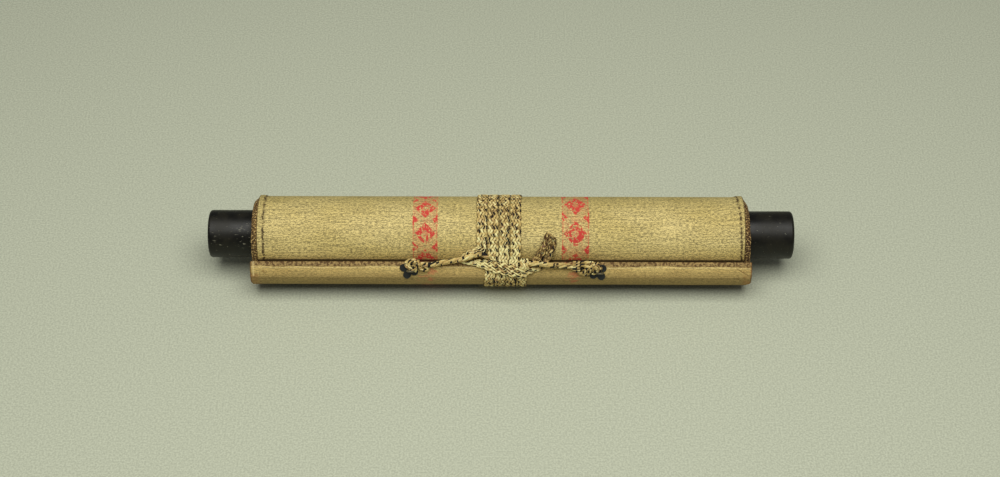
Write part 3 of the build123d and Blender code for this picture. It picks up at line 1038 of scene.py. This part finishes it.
def knots(material):
    """The knots at the eyelets, each made of several bights of cord."""
    bare = tied_outline(0.0)
    pieces = []
    for side, bights, tint in (("left", LEFT_KNOT, 0.5), ("right", RIGHT_KNOT, 0.4)):
        for number, (radius, *bight) in enumerate(bights, 1):
            line = smooth_line([above_loop(bare, *spot) for spot in bight], 8)
            name = f"{side}_knot_{number}"
            piece = twisted(name, line, radius, KNOT_STRANDS, KNOT_TWIST, material, tint)
            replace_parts(piece, side + "_cord_knot")
            pieces.append(piece)
    return pieces


# Places on the sheet's map, as the run down the roll
# Painted shade: darker towards the top of the roll, and a little darker towards the stave
TOP_SHADE = (-40.0, -2.0)
LOW_SHADE = (6.0, 20.0)
SEAM_RUN = (19.0, 19.7)  # where the sheet goes under the stave's paper, painted as a dark line of shade

# Red bands worn into the sheet: X of the middle, half the width, and the motif's length
RED_BANDS = ((-52.2, 8.6, 19.0), (51.2, 9.4, 23.0))
RED_TRACES = ((-49.0, 8.0), (49.5, 4.5))  # X and half the width, on the stave

# Heights on the facing plane along the stave's paper
GAP_UP = (-9.75, -9.4)
LEDGE_UP = (-12.4, -11.9)
# Where a painted highlight runs along the shoulder's edge
HIGHLIGHT_UP = -12.9
CORNER_UP = (-19.0, -16.5)
LIP_UP = (-20.0, -18.5)
UNDERSIDE_UP = (-28.0, -27.0)
TEAR = (164.0, -14.3)  # where the tear in the right end starts: X and height
TEAR_SLOPE = 0.57

# How strongly the grain of the paper shows: its range, then the shades that it gives
SHEET_GRAIN = (0.42, 0.58, 0.44, 1.44)
STAVE_GRAIN = (0.42, 0.58, 0.60, 1.30)


def crepe(graph, y=1.0):
    """A fine grain of short ridges that run along the roller."""
    ridges = graph.noise(1.5, 2.0, 0.7, 0.3, y)
    pits = graph.noise(1.5, 2.0, 0.7, 0.9, y)
    lines = graph.noise(0.95, 1.0, 0.5, 0.05, y)
    return ridges * 0.5 + pits * 0.35 + lines * 0.15


def red_wear(graph, x, run):
    """Bands of dull red lozenges between fine lines, mostly rubbed away."""
    rubbed = graph.noise(0.62, 4.0, 0.7, 1.0, 0.8) + graph.noise(0.12, 2.0, 0.5) * 0.35
    worn = rubbed.step(0.66, 0.76, 1.0, 0.05)
    for middle, half, length in RED_BANDS:
        from_middle = abs(x - middle)
        along = graph.math("PINGPONG", run, length / 2)
        lean = from_middle / (half * 0.9) + along / (length * 0.45)
        lozenge = lean.fall(0.85, 1.0) * lean.step(0.28, 0.36, 0.35, 1.0)
        corner = ((half * 0.95 - from_middle) + (length / 2 - along)).fall(3.2, 4.2)
        line = from_middle.within(half * 0.93, 0.3, 0.3) * 0.6
        motif = graph.math("MAXIMUM", graph.math("MAXIMUM", lozenge, corner), line)
        band = from_middle.fall(half - 0.3, half + 0.3)
        graph.paint(band * (motif * 0.84 + 0.24) * worn, (212, 66, 58))


def hem_shade(graph, run):
    """Painted shade along the hem: in its broken crease, in the puckers and ticks beside it, and
    along the sheet's edge.
    """
    from_crease, inward, _ = graph.split(graph.layer("marks"))
    wobble = (graph.noise(0.75, 3.0, 0.65, 1.4) - 0.5) * 3.4
    # Painted shade in the crease, broken along its length.
    crease = (from_crease + wobble).within(0.0, 0.68, 0.4)
    crease = crease * graph.noise(0.42, 2.0, 0.6, 0.3).step(0.40, 0.52, 0.15, 1.0)
    graph.paint(crease * 0.92, (56, 40, 18))
    pucker = graph.noise(0.9, 3.0, 0.6, 0.35).step(0.55, 0.66)
    graph.paint(from_crease.fall(0.2, 3.2) * pucker * 0.55, (128, 104, 58))
    ticks = graph.noise(0.5, 2.0, 0.6, place=graph.join(from_crease, run)).step(0.56, 0.6)
    graph.paint(ticks * from_crease.within(0.1, 1.2, 0.5) * 0.7, (84, 62, 30))
    # Painted shade along the sheet's edge.
    graph.paint(inward.fall(0.25, 0.95, 0.85), (84, 62, 28))


def sheet_surface():
    """The sheet's aged paper, with its creases and worn red bands, and painted shade towards its
    top, towards the stave, in its hem and where it goes under the stave's paper.
    """
    graph = surface("sheet_paper", (216, 196, 132))
    x, run, _ = graph.split(graph.place)
    grain = crepe(graph)
    clouds = graph.noise(0.04, 4.0, 0.55, 0.5)
    graph.paint(clouds.step(0.3, 0.72), (202, 181, 114))
    graph.shade(grain.step(*SHEET_GRAIN))
    graph.paint(graph.noise(0.75, 2.0, 0.5).step(0.69, 0.75) * 0.45, (104, 84, 44))
    # Painted shade, darker towards the top of the roll and towards the stave.
    graph.paint(run.fall(*TOP_SHADE), (216, 216, 204), "MULTIPLY")
    graph.paint(run.step(*LOW_SHADE), (250, 242, 226), "MULTIPLY")
    red_wear(graph, x, run)
    hem_shade(graph, run)
    # Painted shade: a dark line where the sheet goes under the stave's paper.
    graph.paint(run.step(*SEAM_RUN, 0.0, 0.9), (54, 34, 10))
    return graph.finish(0.85, grain, 0.35, 0.0005)


def end_wear_and_shade(graph, x, up, dots, smudge):
    """Folds drawn as painted shade, stains, corner patch, tear and pale lip at the stave's ends."""
    from_end = POCKET_HALF - abs(x)
    slanted = graph.join(x + up * 0.7, up)
    # Painted shade along thin fold lines near the ends.
    folds = graph.noise(0.16, 2.0, 0.5, place=slanted).within(0.5, 0.012, 0.008)
    graph.paint(folds * abs(x).step(POCKET_HALF - 16.0, POCKET_HALF - 9.0, 0.0, 0.6), (120, 88, 44))
    for middle, half in RED_TRACES:
        close = abs(x - middle).fall(half, half * 1.3)
        graph.paint(close * smudge.step(0.5, 0.66, 0.0, 0.5), (206, 96, 72))
    graph.paint((from_end + dots * 1.2).fall(0.9, 1.9, 0.85), (96, 70, 36))
    corner = x.fall(4.0 - POCKET_HALF, 8.0 - POCKET_HALF) * up.fall(*CORNER_UP, 0.2)
    graph.paint(corner, (160, 92, 56))
    tear_up = TEAR[1] - (x - TEAR[0]) * TEAR_SLOPE
    tear = (up - tear_up).within(0.0, 0.25, 0.25) * x.step(TEAR[0] - 4.0, TEAR[0], 0.0, 0.8)
    graph.paint(tear, (104, 74, 36))
    lip = from_end.within(2.3, 0.3, 0.5) * up.step(*LIP_UP, 0.0, 0.7)
    graph.paint(lip * x.fall(0.0, 0.1), (244, 222, 160))
    tan_end = x.step(POCKET_HALF - 8.0, POCKET_HALF - 3.0, 0.0, 0.4) * smudge.step(0.4, 0.6)
    graph.paint(tan_end, (176, 120, 66))


def stave_surface():
    """The stave's paper: a rough dark ledge, partly painted shade, a painted highlight on the
    shoulder, and painted shade on the lower side, in the gap to the roll and on the underside.
    """
    graph = surface("stave_paper", (210, 183, 114))
    x, up, _ = graph.split(graph.place)
    grain = crepe(graph, 1.3)
    clouds = graph.noise(0.09, 4.0, 0.6, 0.35)
    dots = graph.noise(0.8, 3.0, 0.6)
    height = up + (clouds - 0.5) * 3.0
    ledge = height.step(*LEDGE_UP)
    graph.paint(clouds.step(0.3, 0.7), (186, 158, 95))
    # Painted shade on the lower side below the fold, softened above it, and in the fold's crease.
    graph.paint(height.fall(FOLD_UP - 1.6, FOLD_UP + 1.8) * 0.85, (156, 132, 80))
    graph.paint(height.fall(FOLD_UP + 0.5, FOLD_UP + 6.0, 0.5), (160, 137, 84))
    graph.paint(height.within(FOLD_UP + 1.2, 0.25, 0.5) * 0.4, (138, 112, 66))
    # The ledge is partly darker paper and partly painted shade of its recess beside the roll.
    graph.paint(ledge * 0.9, (152, 126, 80))
    # A painted highlight along the edge of the shoulder below the ledge.
    graph.paint(height.within(HIGHLIGHT_UP, 0.25, 0.4) * 0.7, (236, 214, 150))
    graph.shade(grain.step(*STAVE_GRAIN))
    # Painted shade in the gap where the stave's paper meets the roll.
    graph.paint(up.step(*GAP_UP, 0.0, 0.9), (50, 32, 10))
    graph.paint(dots.step(0.62, 0.72, 0.0, 0.5), (104, 80, 42))
    graph.paint(ledge * graph.noise(0.55, 2.0, 0.6).step(0.48, 0.56, 0.0, 0.8), (78, 52, 24))
    # Painted shade along the stave's underside, where it nears the floor.
    graph.paint(up.fall(*UNDERSIDE_UP, 0.75), (40, 32, 16))
    end_wear_and_shade(graph, x, up, dots, graph.noise(0.22, 3.0, 0.6, 0.5))
    return graph.finish(0.85, grain, 0.35, 0.0005)


def edge_surface(side, light, dark):
    """The speckled brown edges of the inner turns."""
    graph = surface("edge_paper_" + side, light)
    spots = graph.noise(0.9, 4.0, 0.7)
    clouds = graph.noise(0.08, 3.0, 0.5).step(0.35, 0.65)
    graph.paint(clouds, dark)
    graph.paint(spots.step(0.49, 0.55), (44, 29, 10))
    graph.paint(spots.fall(0.40, 0.45, 0.9), (226, 196, 130))
    return graph.finish(0.9, spots, 0.4, 0.0004)


def plain(name, colour, rough):
    """An even, slightly mottled material."""
    graph = surface(name, colour, "Object")
    spots = graph.noise(300.0, 4.0, 0.6)
    graph.shade(spots.step(0.3, 0.7, 0.75, 1.2))
    return graph.finish(rough, spots, 0.15, 0.0003)


def lacquer(side, colour):
    """Black lacquer with dust and small pale scratches."""
    graph = surface("lacquer_" + side, colour, "Object")
    dust = graph.noise(90.0, 4.0, 0.6)
    graph.paint(dust.step(0.35, 0.75, 0.0, 0.4), (48, 44, 30))
    specks = graph.noise(640.0, 3.0, 0.7, 1.0, 1.3)
    graph.paint(specks.step(0.67, 0.72, 0.0, 0.85), (150, 148, 126))
    scratches = graph.noise(1200.0, 1.0, 0.5, 0.25).step(0.64, 0.7, 0.0, 0.6)
    patches = graph.noise(60.0, 2.0, 0.5).step(0.55, 0.7)
    graph.paint(scratches * patches, (160, 156, 136))
    graph.put(graph.nodes["Principled BSDF"].inputs["Specular IOR Level"], 0.36)
    return graph.finish(dust.step(0.3, 0.7, 0.36, 0.52), dust, 0.1, 0.0006)


def silk():
    """Silk threads, cream and tan, with the painted shade that their marks carry, and near-black
    where they are marked.
    """
    graph = surface("silk", (78, 52, 18))
    dark, tint, _ = graph.split(graph.layer("marks"))
    along, across, _ = graph.split(graph.place)
    threads = graph.noise(1.6, 3.0, 0.6, 0.5, 9.0)
    share = graph.math("FRACT", across)
    pair = graph.math("FLOOR", across) + share.step(0.43, 0.47) * 4.3
    # A painted shade line parts the two threads of each strand.
    uneven = graph.noise(0.42, 2.0, 0.6, place=graph.join(along, pair)) - 0.5
    parting = share.within(0.45, 0.05, 0.05)
    light = tint + (threads - 0.5) * 0.6 + uneven - parting * 0.25
    hue = graph.noise(0.21, 2.0, 0.5)
    graph.paint(light.step(0.0, 0.5), (214, 184, 112))
    graph.paint(light.step(0.45, 0.9), (255, 244, 176))
    graph.paint(hue.step(0.56, 0.68, 0.0, 0.35), (150, 158, 118))
    graph.paint(hue.step(0.44, 0.32, 0.0, 0.3), (200, 150, 120))
    # Near-black: the ribbon's dark threads, and painted shade of the slits between the cord's
    # strands.
    graph.paint(dark.step(0.27, 0.35), (18, 10, 4))
    return graph.finish(0.8, threads, 0.4, 0.0003)


BACKDROP_TONE = tone(176, 181, 160)
BACKDROP_START, BACKDROP_END = 0.55, 1.5  # metres from the roll where the floor turns even
FLOOR_HALF = 6.0  # metres
LAMP_SIZE = (1.6, 1.1)
LAMP_PLACE = (0.0, -0.34, 1.25)
LAMP_POWER = 17.6
LAMP_COLOUR = (1.0, 0.99, 0.93)
WORLD_COLOUR = (1.0, 1.0, 0.97, 1.0)
WORLD_STRENGTH = 0.15


def show_backdrop(graph, kind, lit, share, target):
    """Give what is far away an even tone, which lights nothing."""
    seen = graph.add("LightPath", {}, output="Is Camera Ray") * share
    even = graph.add(kind, {"Color": BACKDROP_TONE})
    mixed = graph.add("MixShader", {0: seen, 1: Field(graph, lit.outputs[0]), 2: even})
    graph.put(graph.nodes[target].inputs["Surface"], mixed)


def stage_floor():
    """A plain pale floor that fades into the backdrop."""
    graph = surface("floor", (190, 195, 174), "Object")
    graph.shade(graph.noise(760.0, 2.0, 0.6).step(0.3, 0.7, 0.86, 1.14))
    graph.finish(0.9)
    x, y, _ = graph.split(graph.place)
    far = graph.math("SQRT", x * x + y * y).step(BACKDROP_START, BACKDROP_END)
    show_backdrop(graph, "Emission", graph.nodes["Principled BSDF"], far, "Material Output")
    mesh = bpy.data.meshes.new("floor")
    corners = [(x * FLOOR_HALF, y * FLOOR_HALF, 0) for x, y in ((-1, -1), (1, -1), (1, 1), (-1, 1))]
    mesh.from_pydata(corners, [], [(0, 1, 2, 3)])
    mesh.materials.append(graph.owner)
    add_object("floor", mesh)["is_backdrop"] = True


def lights():
    """One large soft lamp overhead, and a faint light from all round."""
    graph = Graph(bpy.data.worlds.new("world"))
    bpy.context.scene.world = graph.owner
    around = graph.nodes["Background"]
    around.inputs["Color"].default_value = WORLD_COLOUR
    around.inputs["Strength"].default_value = WORLD_STRENGTH
    show_backdrop(graph, "Background", around, 1.0, "World Output")
    lamp = bpy.data.lights.new("lamp", "AREA")
    lamp.shape = "RECTANGLE"
    lamp.size, lamp.size_y = LAMP_SIZE
    lamp.energy = LAMP_POWER
    lamp.color = LAMP_COLOUR
    add_object("lamp", lamp).location = LAMP_PLACE


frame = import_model()
cad_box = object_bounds()

bpy.context.scene.view_settings.view_transform = "Standard"
camera()
stage_floor()
lights()

threads = silk()
looks = (
    ("left_knob", lacquer("left", (12, 12, 5))),
    ("right_knob", lacquer("right", (12, 11, 5))),
    ("left_washer right_washer", plain("iron", (44, 47, 45), 0.32)),
    ("left_eyelet right_eyelet", plain("wire", (92, 84, 62), 0.3)),
    ("stave roller_rod", plain("wood", (190, 160, 120), 0.7)),
)
for nodes, material in looks:
    for node in nodes.split():
        frame["nodes"][node].data.materials.clear()
        frame["nodes"][node].data.materials.append(material)

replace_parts(rolled_skin(sheet_surface()), "rolled_sheet")
for side, name, light, dark in (
    (-1, "left", (156, 124, 72), (112, 82, 42)),
    (1, "right", (132, 98, 54), (92, 62, 32)),
):
    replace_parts(turn_ends(side, edge_surface(name, light, dark)), "rolled_sheet")
pocket(stave_surface())
ribbon(threads)
cord, cord_line = hanging_cord(threads)
knot_pieces = knots(threads)
tuple(cord_line[0] * MM)
[tuple(point * MM) for point in cord_line]

sizes = {"cad": cad_box, "visual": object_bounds()}
{name: [list(corner) for corner in box] for name, box in sizes.items()}
